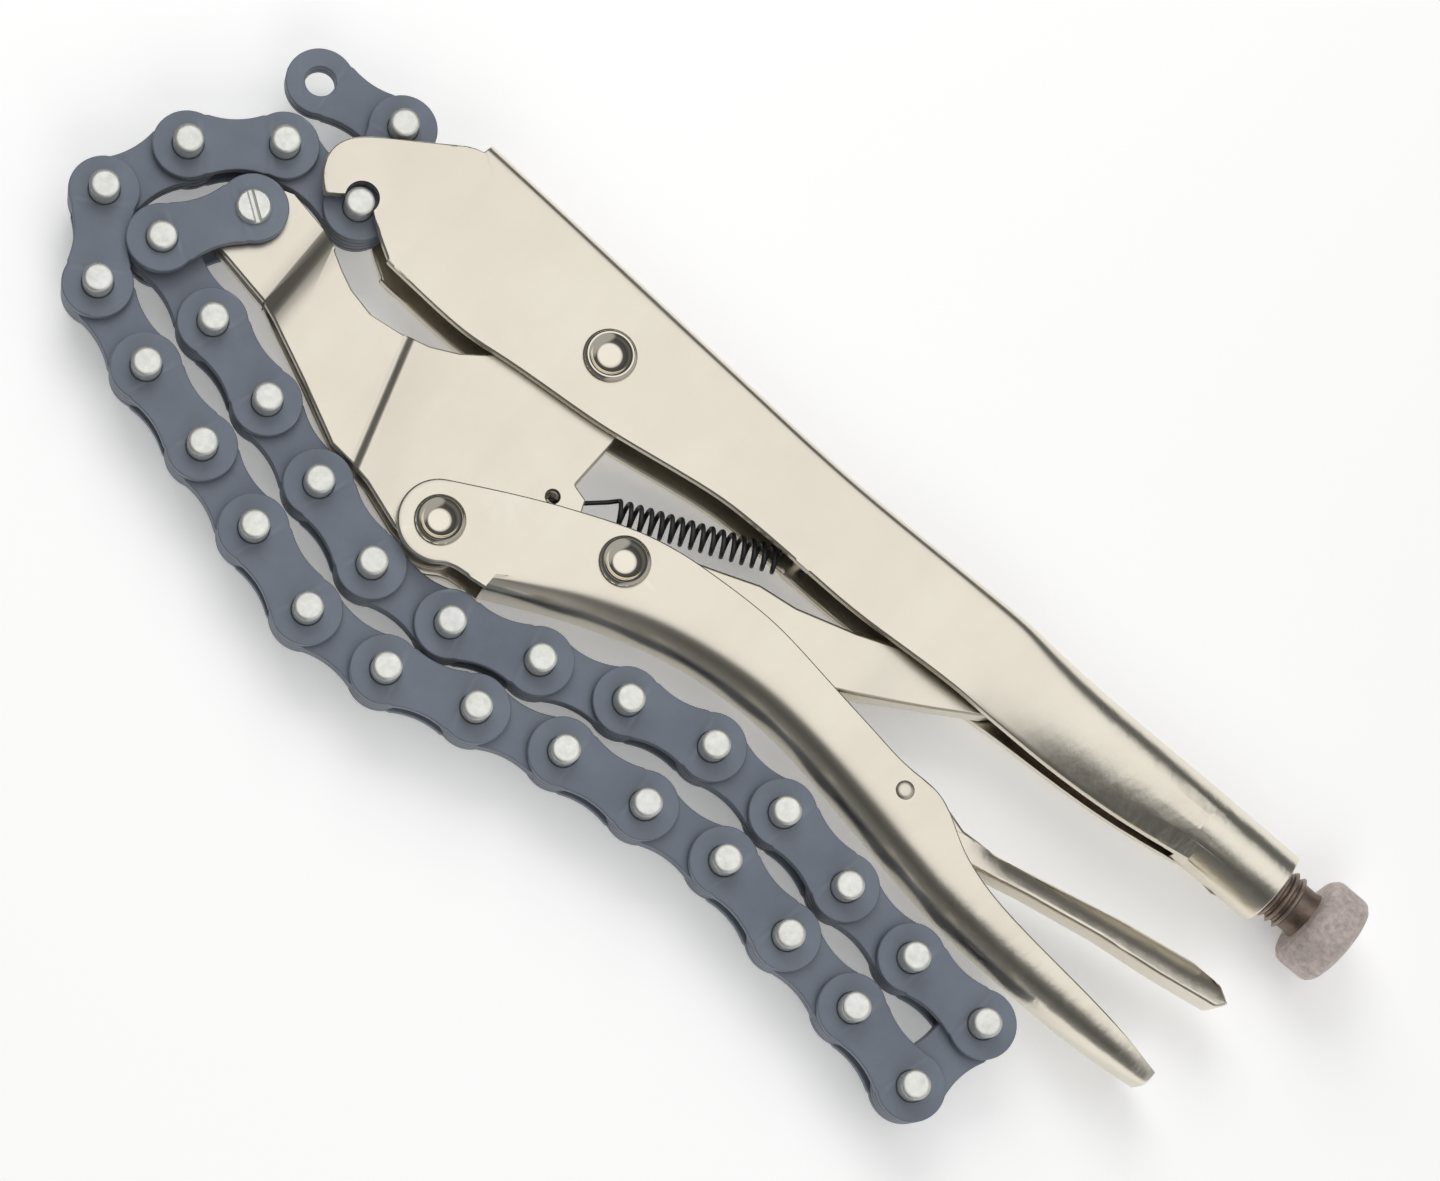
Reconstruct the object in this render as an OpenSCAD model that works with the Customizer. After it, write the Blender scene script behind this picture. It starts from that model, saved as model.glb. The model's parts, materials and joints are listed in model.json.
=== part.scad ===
// Locking chain pliers: a pressed-steel locking plier body with a hooked chain, lying on its side.
// +Z is along the pivots, +X runs from the jaws to the knob, +Y points to the upper handle's back.

/* [Channels] */
// Half width over the side walls of both handles
body_half = 6.7; // [6.4:0.1:7.4]
// Sheet thickness of the handles and the jaw
wall_t = 2.0; // [1.6:0.1:2.1]
// Side gap between the jaw and the walls around it
side_gap = 0.3; // [0.2:0.05:0.5]
// Half width of the toggle link
toggle_half = 4.0; // [3.5:0.1:4.2]
// Half width of the release lever
lever_half = 3.8; // [3.2:0.1:4.2]

/* [Chain] */
// Distance between chain pins (5/8 inch)
chain_pitch = 15.875; // [15.8:0.025:15.95]
// Radius of a link plate's round ends
lobe_r = 5.85; // [5.5:0.05:5.9]
// Half width of a link plate at its waist
waist_half = 4.4; // [4:0.1:4.7]
// Radius of the hollow in a link plate's sides
waist_cut_r = 14; // [12:1:20]
// Thickness of a link plate
plate_t = 1.6; // [1.4:0.05:1.65]
// Side clearance between link plates
plate_gap = 0.2; // [0.15:0.05:0.25]
// Radius of a chain pin
pin_r = 2.5; // [2.2:0.1:2.6]
// Length of a chain pin
pin_len = 13.6; // [13:0.1:14.4]
// Half width of the jaw's nose inside the first link
nose_half = 2.9; // [2.7:0.1:3.4]

/* [Pivots] */
// Shank radius of the three large rivets
rivet_r = 3.0; // [2.6:0.1:3.4]
// Head radius of the jaw rivet
jaw_head_r = 4.6; // [4.2:0.1:5.2]
// Head radius of the handle rivet
handle_head_r = 4.3; // [4:0.1:4.8]
// Head radius of the toggle rivet
toggle_head_r = 4.4; // [4:0.1:4.8]
// Height of a rivet head
head_h = 1.1; // [0.8:0.1:1.4]
// Radius of the release lever's flush pin
lever_pin_r = 1.6; // [1.3:0.1:2]
// Radial clearance of a pivot that turns
run_gap = 0.06; // [0.04:0.01:0.09]
// Radial clearance of a pin that is held fast
fast_gap = 0.02; // [0.01:0.01:0.03]

/* [Adjusting screw] */
// Thread radius
screw_r = 5.0; // [4.6:0.1:5.2]
// Thread pitch
thread_pitch = 1.5; // [1.25:0.25:1.75]
// Outer radius of the round rear tube
tube_r = 7.0; // [6.8:0.1:7.4]
// Exposed thread between the tube and the knob
thread_shown = 7.2; // [5:0.2:9]
// Knob radius
knob_r = 8.55; // [7.8:0.05:9.2]
// Knob length
knob_len = 7.8; // [6.5:0.1:9]

/* [Spring] */
// Wire radius
wire_r = 0.42; // [0.35:0.01:0.5]
// Mean radius of the coils
coil_r = 2.1; // [1.8:0.1:2.3]
// Number of coils
coils = 16; // [12:1:18]

/* [Hidden] */
eps = 0.01;
inner_half = body_half - wall_t;
jaw_half = inner_half - side_gap;
middle_half = (nose_half + 2 * jaw_half) / 3;
steel = [0.84, 0.80, 0.73];
bright = [0.88, 0.88, 0.85];
blue_grey = [0.40, 0.43, 0.48];
dark = [0.10, 0.10, 0.11];

// Pivot centres, from the jaw pivot at the origin of the drawing
jaw_pivot = [0, 0];
handle_pivot = [-3.4, -40.1];
toggle_pivot = [23.9, -25.4];
lever_pivot = [83.3, -24.3];
anchor = [-60.2, -19.6];
spring_eye = [7.9, -24.2];
spring_lug = [46.5, -3.6];
lug_r = 0.9;
eye_gap = 0.7;
screw_y = 5.8;
tube_end = 143;
tube_top = screw_y + tube_r;
screw_tip = 91.8;
bore_from = 88;
tube_from = 126;
knob_start = tube_end + thread_shown;
knob_end = knob_start + knob_len;

// Heading of each link in degrees, from the jaw's nose around the loop to the open eye
headings = [
  -119, -18, -16, -18, -17, 3, 18, 16, 12, -3, -10, -7, -3, -101, 167, 172,
  170, 185, 187, 194, 197, 183, 163, 162, 165, 160, 127, 72, 42, 0, 102, 189
];
link_count = len(headings);
pair_count = link_count / 2;
function toward(a) = [cos(a), sin(a)];
function chain_point(k) = k == 0 ? anchor : chain_point(k - 1) + chain_pitch * toward(headings[k - 1]);
pins = [for (k = [0 : link_count]) chain_point(k)];
hook_pin = pins[30];

// Levels of the link plates above the middle plane
inner_z = 0.03;
outer_z = inner_z + plate_t + plate_gap;
first_z = max(nose_half, outer_z + plate_t) + plate_gap;
screw_head_r = pin_r + 0.6;
screw_head_h = 1.1;

// The frame's origin is the middle of the bounding box, on its underside
x_low = min([for (p = pins) p[0]]) - lobe_r;
y_low = min([for (p = pins) p[1]]) - lobe_r;
back_top = 15.6;
shift = [-(x_low + knob_end) / 2, -(y_low + back_top) / 2, max(knob_r, body_half + head_h)];

// Stations of the upper channel: x, open edge, back, half width, back corner radius, roll of the open edge
tube_swell = tube_r - body_half;
upper_stations = [
  [-38, -12.3, back_top, 0, 2.6], [-20, -13.4, 14.8, 0, 2.6], [-14, -12, 14.5, 0, 2.6],
  [2, -10.7, 13.7, 0, 2.6], [9, -9.9, 13.3, 0, 2.6], [26, -6.6, 12.5, 0, 2.6], [33, -6, 12.1, 0, 2.6],
  [45, -6.1, 11.7, 0, 2.6], [58, -6.6, 11.9, 0, 2.6], [70, -5.5, 12.3, 0, 2.8], [80, -5, 12.6, 0, 3.0],
  [84, -5, 12.7, 0, 3.5, 0.9], [90, -4.7, tube_top, -0.2, 5, 1.6],
  [97, -4.5, tube_top, tube_swell - 0.3, tube_r - 0.8, 2.5],
  [104, -4.2, tube_top, tube_swell - 0.2, tube_r - 0.5, 2.8],
  [116, -3.2, tube_top, tube_swell, tube_r - 0.4, 3], [128, -0.8, tube_top, tube_swell, tube_r - 0.4, 3.2]
];
// Stations of the lower channel, with its back on the outside
lower_stations = [
  [9, -25.5, -43.8, 0, 3], [16, -22.3, -40.5, 0, 4], [22.4, -19.6, -37.6, 0, 5], [29.6, -17.8, -35, 0, 5.6],
  [37, -17.1, -32.4, 0, 5.8], [44.6, -16.6, -31, 0, 5.8], [51, -16.7, -30.3, 0, 5.8],
  [57.5, -17.6, -30, 0, 5.8], [67, -19, -30.9, 0, 5.8], [74.4, -19.9, -32.1, 0, 5.8],
  [80.7, -21, -33.3, 0, 5.8], [87, -20.4, -34.5, 0, 5.8], [91, -21.7, -35.2, 0, 5.8],
  [95.5, -24.7, -36, 0, 5.8], [99, -26.5, -36.5, 0, 5.8],
  [107, -28.8, -37.2, -0.1, 5.8], [121, -30, -37.7, -0.2, 5.6], [133, -31, -37.3, -0.3, 5],
  [141, -32.4, -36.4, -0.9, 3.4], [145, -33, -35.8, -2, 2.4]
];

// One U-shaped ring of points at a station; the open edge is first and last
arc_steps = 4;
side_steps = 3;
function rolled(st) = len(st) > 5 ? st[5] : 0;
function corner(y, z, r, s, side, back) = [
  for (i = [0 : arc_steps]) let (a = 90 * (back ? arc_steps - i : i) / arc_steps)
    [y - s * r + s * r * sin(a), side * (z - r + r * cos(a))]
];
function flip(list) = [for (i = [len(list) - 1 : -1 : 0]) list[i]];
function side(open_y, top_y, half, roll) = [
  for (i = [side_steps : -1 : 1]) let (t = i / side_steps) [top_y + (open_y - top_y) * t, half - roll * t * t]
];
function bend(open_y, back_y, half, r, s, roll) = let (wall = side(open_y, back_y - s * r, half, roll))
  concat(
    wall, corner(back_y, half, r, s, 1, false),
    corner(back_y, half, r, s, -1, true), [for (q = flip(wall)) [q[0], -q[1]]]
  );
function ring(st, s) = let (half = body_half + st[3], outer = bend(st[1], st[2], half, st[4], s, rolled(st)))
  let (inner = bend(st[1], st[2] - s * wall_t, half - wall_t, max(st[4] - wall_t, 0.4), s, rolled(st)))
  [for (q = concat(outer, flip(inner))) [st[0], q[0], q[1]]];

// Pressed channel through a list of stations; s is the side of its back
module channel(stations, s) {
  rings = [for (st = stations) ring(st, s)];
  n = len(rings[0]);
  last = len(rings) - 1;
  sides = [
    for (i = [0 : last - 1], j = [0 : n - 1]) let (a = i * n + j, b = i * n + (j + 1) % n)
      each s > 0 ? [[a, b, b + n], [a, b + n, a + n]] : [[b, a, a + n], [b, a + n, b + n]]
  ];
  caps = [
    for (i = [0, last], j = [0 : n / 2 - 2])
      let (a = i * n + j, b = a + 1, d = i * n + n - 1 - j, c = d - 1)
      each (s > 0) == (i > 0) ? [[a, b, c], [a, c, d]] : [[b, a, d], [b, d, c]]
  ];
  polyhedron(points = [for (r = rings) each r], faces = concat(sides, caps), convexity = 6);
}

// A flat piece between two levels, and the same piece on both sides of the middle plane
module slab(low, high) {
  translate([0, 0, low]) linear_extrude(high - low) children();
}
module both_sides() {
  children();
  mirror([0, 0, 1]) children();
}
module at(p) {
  translate([p[0], p[1], 0]) children();
}
module along_screw(x) {
  translate([x, screw_y, 0]) rotate([0, 90, 0]) children();
}
module through(p, r, half = 20) {
  at(p) cylinder(r = r, h = 2 * half, center = true, $fn = 32);
}

// The hook's side wall: its beak and throat are drawn from the chain pin that it holds
hook_seat = [-0.1, 0.7];
hook_gap = 0.4;
beak = [
  [-5.2, -2.9], [-7.2, -1.3], [-9.0, 1.5], [-9.4, 4.3], [-8.8, 6.5], [-7.1, 8.9], [-3.1, 12.0]
];
hook_back = [
  [-45.2, 8.6], [-40.2, 12.6], [-38, 13], [-31, 12], [-31, -12.7], [-37.2, -12.4]
];
throat = [[5.8, -2.2], [2.8, 0.2], [-2.6, -0.6]];
module hook_wall() {
  difference() {
    polygon(concat([for (q = beak) hook_pin + q], hook_back, [for (q = throat) hook_pin + q]));
    translate(hook_pin + hook_seat) circle(r = pin_r + hook_gap, $fn = 32);
  }
}

module upper_handle() {
  color(steel) translate(shift) difference() {
    union() {
      channel(upper_stations, 1);
      both_sides() slab(inner_half, body_half) hook_wall();
      along_screw(tube_from) cylinder(r = tube_r, h = tube_end - tube_from, $fn = 48);
      at(spring_lug) translate([0, 0, -inner_half - eye_gap]) cylinder(r = lug_r, h = inner_half, $fn = 20);
    }
    through(jaw_pivot, rivet_r + fast_gap);
    along_screw(bore_from) cylinder(r = screw_r + run_gap, h = tube_end, $fn = 48);
  }
}

// Outlines of the pressed jaw: its nose, the middle between two bends, and the plate at the pivots
nose_outline = [
  [-60.4, -14.0], [-57, -12.7], [-49, -14.2], [-48.4, -30.1], [-60.4, -28], [-64.2, -25.4], [-66, -21],
  [-64.8, -16.6]
];
middle_outline = [
  [-46.4, -15.6], [-42.8, -17.6], [-39.3, -19.2], [-34.1, -20.3], [-28.7, -19.5], [-27.4, -19.15],
  [-20.3, -41.55], [-25, -41.2], [-35.2, -36.2], [-45.6, -31.5]
];
plate_outline = [
  [-23.5, -18.1], [-19, -15.7], [-14.5, -12], [-8, -2], [-5, 6], [5, 6], [8.6, -2], [9.6, -10.6], [9.4, -20.2],
  [12.4, -21], [13.6, -24], [11.6, -27.6], [3.2, -37], [0, -45], [-6, -45.4], [-8.8, -45], [-16.6, -42.4]
];
first_bend = [[-49, -14.2], [-48.4, -30.1], [-46.4, -15.6], [-45.6, -31.5]];
second_bend = [[-27.4, -19.15], [-20.3, -41.55], [-23.5, -18.1], [-16.6, -42.4]];
upper_edge = [[-39.3, -19.2], [-34.1, -20.3], [-28.7, -19.5], [-23.5, -18.1]];
jaw_eye_r = 8;
handle_eye_r = 6.2;
bend_lap = 0.5;
module plate_plan() {
  polygon(plate_outline);
  circle(r = jaw_eye_r, $fn = 40);
  translate(handle_pivot) circle(r = handle_eye_r, $fn = 40);
}
module bend_line(a, b, lap) {
  polygon([a, b, b + [lap, 0], a + [lap, 0]]);
}
// The sloping sheet between two levels, from the line of its first two points to that of its last two
module joggle(line, low, high) {
  hull() {
    slab(low - wall_t, low) bend_line(line[0], line[1], -bend_lap);
    slab(high - wall_t, high) bend_line(line[2], line[3], bend_lap);
  }
}
module edge_strip(a, b) {
  polygon([a, b, b + [0.4, -wall_t], a + [0.4, -wall_t]]);
}

module lower_jaw() {
  color(steel) translate(shift) difference() {
    union() {
      both_sides() {
        slab(nose_half - wall_t, nose_half) polygon(nose_outline);
        slab(middle_half - wall_t, middle_half) polygon(middle_outline);
        slab(jaw_half - wall_t, jaw_half) plate_plan();
        joggle(first_bend, nose_half, middle_half);
        joggle(second_bend, middle_half, jaw_half);
      }
      slab(-nose_half + eps, nose_half - eps) edge_strip(nose_outline[1], nose_outline[2]);
      slab(-middle_half + eps, middle_half - eps)
        for (i = [0 : len(upper_edge) - 2]) edge_strip(upper_edge[i] - [0.1, 0], upper_edge[i + 1]);
    }
    through(jaw_pivot, rivet_r + run_gap);
    through(handle_pivot, rivet_r + run_gap);
    through(anchor, pin_r + run_gap);
    through(spring_eye, wire_r + eye_gap);
  }
}

// Front ears of the lower handle, around its pivot on the jaw
ear_r = 7;
ear_outline = [
  [-6.6, -33.9], [2.2, -28.9], [9.8, -25.1], [14, -23.4], [14, -37.5], [9.2, -41], [9.2, -43.6], [5.8, -44.1],
  [3, -44.3], [-1, -46.6]
];
module handle_ear() {
  translate(handle_pivot) circle(r = ear_r, $fn = 48);
  polygon(ear_outline);
}

module lower_handle() {
  color(steel) translate(shift) difference() {
    union() {
      channel(lower_stations, -1);
      both_sides() slab(inner_half, body_half) handle_ear();
    }
    through(handle_pivot, rivet_r + fast_gap);
    through(toggle_pivot, rivet_r + fast_gap);
    through(lever_pivot, lever_pin_r + fast_gap);
  }
}

// The toggle's tip is narrow, because the walls around it are rolled in
toggle_tip_half = 2.5;
toggle_tip_from = 77;
toggle_eye_r = 6.3;
toggle_outline = [
  [21.5, -21], [31.8, -17.2], [37.1, -15.2], [43.6, -12.6], [50.5, -11.6], [61, -8.2], [72, -3.2], [82, 3],
  [87.6, 6.2], [89.6, 5.4], [90.3, 2.6], [89.4, -1.5], [86.5, -4.6], [79.1, -9.3], [67.4, -16.4], [56, -22.6],
  [45, -26.6], [26.5, -30]
];
module toggle_link() {
  color(steel) translate(shift) difference() {
    union() {
      at(toggle_pivot) cylinder(r = toggle_eye_r, h = 2 * toggle_half, center = true, $fn = 40);
      slab(-toggle_half, toggle_half) polygon(toggle_outline);
    }
    through(toggle_pivot, rivet_r + run_gap);
    both_sides() translate([toggle_tip_from, handle_pivot[1], toggle_tip_half])
      cube([screw_tip - toggle_tip_from, tube_top - handle_pivot[1], toggle_half]);
  }
}

lever_outline = [
  [70, -22], [76, -20.9], [84, -20.1], [91, -20.9], [95.4, -22.2], [102.6, -21.5], [113.5, -18.8],
  [126.3, -15.6], [139.7, -13.2], [145.6, -13.6], [148.2, -15.7], [146.8, -17.6], [135.9, -19.5],
  [123.9, -21.1], [110.6, -23.7], [99.7, -26.3], [92, -28.4], [84, -28.6], [74, -27.2], [70, -25.2]
];
module release_lever() {
  color(steel) translate(shift) difference() {
    slab(-lever_half, lever_half) polygon(lever_outline);
    through(lever_pivot, lever_pin_r + run_gap);
  }
}

// Knob and exposed thread as one turned profile, axis along +Z
thread_depth = 0.75;
tip_chamfer = 1.2;
knob_chamfer = 1.2;
module screw_profile() {
  turns = floor((thread_shown - 1) / thread_pitch);
  ridge = [
    for (i = [0 : turns - 1]) let (z = tube_end + thread_pitch / 3 + i * thread_pitch)
      each [[screw_r, z], [screw_r - thread_depth, z + thread_pitch / 2]]
  ];
  knob = [
    [screw_r, knob_start - thread_pitch / 3], [screw_r, knob_start], [knob_r - knob_chamfer, knob_start],
    [knob_r, knob_start + knob_chamfer], [knob_r, knob_end - knob_chamfer], [knob_r - knob_chamfer, knob_end],
    [0, knob_end]
  ];
  tip = [[0, screw_tip], [screw_r - tip_chamfer, screw_tip], [screw_r, screw_tip + tip_chamfer]];
  polygon(concat(tip, ridge, knob));
}

module adjusting_screw() {
  color(bright) translate(shift) along_screw(0) rotate_extrude($fn = 40) screw_profile();
}

// Spring path: hooked end through the jaw, lead, coils, lead to the lug
coil_from = [17.5, -18.1, 0];
coil_to = [43.7, -6.2, 0];
coil_axis = (coil_to - coil_from) / norm(coil_to - coil_from);
coil_side = cross([0, 0, 1], coil_axis);
coil_length = norm(coil_to - coil_from);
rings_per_coil = 8;
coil_path = [
  for (i = [0 : coils * rings_per_coil]) let (a = i * 360 / rings_per_coil)
    coil_from + coil_axis * coil_length * i / (coils * rings_per_coil)
    + coil_r * (cos(a) * coil_side + sin(a) * [0, 0, 1])
];
hook_bend = [
  [0, 0, jaw_half + 1], [0, 0, jaw_half], [0, 0, 2.2], [0.4, 0.3, 1.3], [1.3, 0.9, 0.7], [2.7, 1.9, 0.4]
];
lead_in = [for (q = hook_bend) [spring_eye[0], spring_eye[1], 0] + q];
coil_exit = coil_path[len(coil_path) - 1];
lug_loop_r = lug_r + wire_r + 0.4;
lead_out = [
  for (i = [0 : 4]) let (a = 135 - 45 * i)
    [spring_lug[0] + lug_loop_r * cos(a), spring_lug[1] + lug_loop_r * sin(a), -0.8 - 0.45 * i]
];
spring_path = concat(lead_in, [[15.4, -17.6, 0]], coil_path, [coil_exit + [0.9, 0.5, -0.5]], lead_out);
path_count = len(spring_path);
function unit(v) = v / norm(v);
tangents = [
  for (i = [0 : path_count - 1]) unit(spring_path[min(i + 1, path_count - 1)] - spring_path[max(i - 1, 0)])
];
function level(n, t) = unit(n - (n * t) * t);
normals = [for (i = 0, n = level([1, 0, 0], tangents[0]); i < path_count;
  i = i + 1, n = level(n, tangents[min(i, path_count - 1)])) n];
least_gap = min([
  for (i = [0 : path_count - 7], j = [i + 6 : path_count - 1])
    norm(spring_path[i] - spring_path[j]) - 2 * wire_r
]);
echo(least_gap_of_spring_to_itself = least_gap);

module return_spring() {
  m = 6;
  points = [
    for (i = [0 : path_count - 1], j = [0 : m - 1]) let (a = j * 360 / m, b = cross(tangents[i], normals[i]))
      spring_path[i] + wire_r * (cos(a) * normals[i] + sin(a) * b)
  ];
  sides = [
    for (i = [0 : path_count - 2], j = [0 : m - 1]) let (a = i * m + j, b = i * m + (j + 1) % m)
      each [[b, a, a + m], [b, a + m, b + m]]
  ];
  e = (path_count - 1) * m;
  caps = [for (j = [1 : m - 2]) each [[0, j, j + 1], [e, e + j + 1, e + j]]];
  color(dark) translate(shift) polyhedron(points = points, faces = concat(sides, caps), convexity = 10);
}

// A rivet with a dished head on both sides
module rivet(p, head_r) {
  z = body_half + fast_gap;
  top = [
    [head_r, z], [head_r, z + head_h * 0.35], [head_r * 0.86, z + head_h * 0.85], [head_r * 0.6, z + head_h],
    [0, z + head_h * 0.6]
  ];
  color(bright) translate(shift) at(p) rotate_extrude($fn = 32) polygon(concat(
    [for (i = [len(top) - 1 : -1 : 0]) [top[i][0], -top[i][1]]], [[rivet_r, -z], [rivet_r, z]], top
  ));
}
module jaw_rivet() {
  rivet(jaw_pivot, jaw_head_r);
}
module handle_rivet() {
  rivet(handle_pivot, handle_head_r);
}
module toggle_rivet() {
  rivet(toggle_pivot, toggle_head_r);
}
module lever_rivet() {
  color(bright) translate(shift) at(lever_pivot)
    cylinder(r = lever_pin_r, h = 2 * body_half, center = true, $fn = 24);
}

// Slotted screw through the jaw's nose and the first link
module nose_screw() {
  top = first_z + plate_t + fast_gap;
  color(bright) translate(shift) at(anchor) difference() {
    union() {
      cylinder(r = pin_r, h = 2 * top, center = true, $fn = 24);
      both_sides() translate([0, 0, top])
        cylinder(r1 = screw_head_r, r2 = screw_head_r - 0.4, h = screw_head_h, $fn = 24);
    }
    rotate(-35) translate([-5, -0.45, top + screw_head_h - 0.6]) cube([10, 0.9, 2]);
  }
}

// One link plate from pin to pin along +X, between two levels
module link_plate(low, bore_r) {
  shoulder = (lobe_r + waist_half) / 2;
  slab(low, low + plate_t) difference() {
    union() {
      circle(r = lobe_r, $fn = 20);
      translate([chain_pitch, 0]) circle(r = lobe_r, $fn = 20);
      translate([0, -shoulder]) square([chain_pitch, 2 * shoulder]);
    }
    for (s = [-1, 1]) translate([chain_pitch / 2, s * (waist_half + waist_cut_r)])
      circle(r = waist_cut_r, $fn = 44);
    for (x = [0, chain_pitch]) translate([x, 0]) circle(r = bore_r, $fn = 16);
  }
}
module link_at(k) {
  translate(shift) translate([pins[k - 1][0], pins[k - 1][1], 0]) rotate(headings[k - 1]) children();
}
module outer_link_plates(i) {
  low = i == 1 ? first_z : outer_z;
  color(blue_grey) link_at(2 * i - 1) both_sides() link_plate(low, pin_r + fast_gap);
}
module inner_link_plates(i) {
  color(blue_grey) link_at(2 * i) both_sides() link_plate(inner_z, pin_r + run_gap);
}
module link_pins(i) {
  c = 0.35;
  half = pin_len / 2;
  profile = [[0, -half], [pin_r - c, -half], [pin_r, c - half], [pin_r, half - c], [pin_r - c, half], [0, half]];
  color(bright) translate(shift) for (k = [max(2 * i - 1, 2) : 2 * i])
    at(pins[k - 1]) rotate_extrude($fn = 16) polygon(profile);
}

function two(i) = str(i < 10 ? "0" : "", i);

upper_handle();
lower_jaw();
lower_handle();
toggle_link();
release_lever();
adjusting_screw();
return_spring();
jaw_rivet();
handle_rivet();
toggle_rivet();
lever_rivet();
nose_screw();
for (i = [1 : pair_count]) {
  outer_link_plates(i);
  link_pins(i);
  inner_link_plates(i);
}
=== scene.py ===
"""Dresses the locking chain pliers: pressed nickel body, toggle lock, screw and blue-grey chain.

Sizes are given in millimetres and angles in degrees. Vectors and matrices are in the frame's metres.
"""

from __future__ import annotations

import json
import logging
import math
from collections.abc import Callable, Iterator, Sequence
from contextlib import contextmanager
from dataclasses import dataclass, field
from enum import Enum

import bpy
from mathutils import Matrix, Vector

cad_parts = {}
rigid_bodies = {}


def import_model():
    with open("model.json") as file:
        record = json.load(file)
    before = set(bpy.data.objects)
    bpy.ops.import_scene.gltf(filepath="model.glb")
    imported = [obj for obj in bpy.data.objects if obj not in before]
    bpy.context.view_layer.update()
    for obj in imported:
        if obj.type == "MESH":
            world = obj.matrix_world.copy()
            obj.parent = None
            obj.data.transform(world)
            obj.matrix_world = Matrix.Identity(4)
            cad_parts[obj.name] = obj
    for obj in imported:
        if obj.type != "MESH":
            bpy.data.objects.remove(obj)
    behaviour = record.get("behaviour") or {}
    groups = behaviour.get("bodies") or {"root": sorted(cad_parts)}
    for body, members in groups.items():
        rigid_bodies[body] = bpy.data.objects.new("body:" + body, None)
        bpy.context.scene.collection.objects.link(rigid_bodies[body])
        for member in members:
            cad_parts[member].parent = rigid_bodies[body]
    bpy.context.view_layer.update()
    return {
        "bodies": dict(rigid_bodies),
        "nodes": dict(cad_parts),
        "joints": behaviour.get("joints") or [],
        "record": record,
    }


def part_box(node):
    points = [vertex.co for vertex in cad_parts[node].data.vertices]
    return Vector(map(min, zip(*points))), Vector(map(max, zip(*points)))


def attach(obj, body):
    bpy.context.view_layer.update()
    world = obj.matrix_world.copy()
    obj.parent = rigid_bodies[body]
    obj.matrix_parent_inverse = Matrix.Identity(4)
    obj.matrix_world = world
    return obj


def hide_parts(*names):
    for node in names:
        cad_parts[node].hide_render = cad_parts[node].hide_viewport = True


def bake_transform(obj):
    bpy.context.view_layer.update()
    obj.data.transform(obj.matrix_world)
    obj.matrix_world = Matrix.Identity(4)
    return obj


LOG = logging.getLogger("chain_pliers")
MM = 0.001
Object = bpy.types.Object
Material = bpy.types.Material
Tree = bpy.types.NodeTree
Node = bpy.types.ShaderNode
Socket = bpy.types.NodeSocket
Colour = tuple[float, float, float]
Point = tuple[float, float, float]
Profile = tuple[tuple[float, float], ...]


class Slot(Enum):
    """Material slots of the record."""

    NICKEL = "nickel_plate"
    SCREW = "screw_steel"
    LINK = "link_steel"
    PIN = "pin_steel"
    WIRE = "spring_wire"


class Effect(Enum):
    """Shader groups that several finishes share."""

    GRAIN = "drawn_grain"
    MOTTLE = "slow_mottle"
    RUB = "edge_rub"


class Part(Enum):
    """Parts of a mesh that can be selected."""

    CORNER = "vertices"
    EDGE = "edges"
    FACE = "polygons"


# Hand tools


def deselect() -> None:
    """Clears the selection, so that an operator acts on one piece alone."""
    bpy.ops.object.select_all(action="DESELECT")


def pick(*pieces: Object) -> None:
    """Selects the pieces and makes the first one active.

    Args:
        pieces: The objects that the next operator acts on.
    """
    deselect()
    for piece in pieces:
        piece.select_set(True)
    bpy.context.view_layer.objects.active = pieces[0]


@contextmanager
def edit(piece: Object, whole: bool = False) -> Iterator[None]:
    """Holds a piece in edit mode for the lines inside.

    Args:
        piece: The mesh that is edited.
        whole: Whether all of it is selected first.
    """
    pick(piece)
    bpy.ops.object.mode_set(mode="EDIT")
    if whole:
        bpy.ops.mesh.select_all(action="SELECT")
    yield
    bpy.ops.object.mode_set(mode="OBJECT")


def select_where(piece: Object, kind: Part, test: Callable[[object], bool]) -> None:
    """Selects the parts of a mesh that pass a test, from object mode.

    Args:
        piece: The mesh.
        kind: Which parts are tested.
        test: Says of one part whether it is wanted.
    """
    for part in Part:
        for item in getattr(piece.data, part.value):
            item.select = part is kind and test(item)


def select_sharp(angle: float) -> None:
    """Selects only the sharp edges of the piece that is edited.

    Args:
        angle: Least angle of an edge that is selected.
    """
    bpy.ops.mesh.select_all(action="DESELECT")
    bpy.ops.mesh.select_mode(type="EDGE")
    bpy.ops.mesh.edges_select_sharp(sharpness=math.radians(angle))


def face_outwards(piece: Object) -> None:
    """Turns all faces of a closed piece outwards.

    Args:
        piece: The mesh.
    """
    with edit(piece, whole=True):
        bpy.ops.mesh.normals_make_consistent(inside=False)


def settle(piece: Object, place: Matrix) -> Object:
    """Moves a piece to its place and puts that place into its mesh.

    Args:
        piece: The object to move.
        place: Its place in the frame.

    Returns:
        The same object, now at the origin.
    """
    piece.matrix_world = place
    pick(piece)
    bpy.ops.object.transform_apply(location=True, rotation=True, scale=True)
    return piece


def twin(piece: Object, name: str) -> Object:
    """Copies a piece with a mesh of its own.

    Args:
        piece: The model.
        name: The copy's name.

    Returns:
        The copy, linked to the scene.
    """
    copy = bpy.data.objects.new(name, piece.data.copy())
    bpy.context.scene.collection.objects.link(copy)
    return copy


def join(name: str, *pieces: Object) -> Object:
    """Joins pieces into one object.

    Args:
        name: The joined object's name.
        pieces: The objects to join.

    Returns:
        The joined object.
    """
    pick(*pieces)
    bpy.ops.object.join()
    pieces[0].name = name
    return pieces[0]


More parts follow.
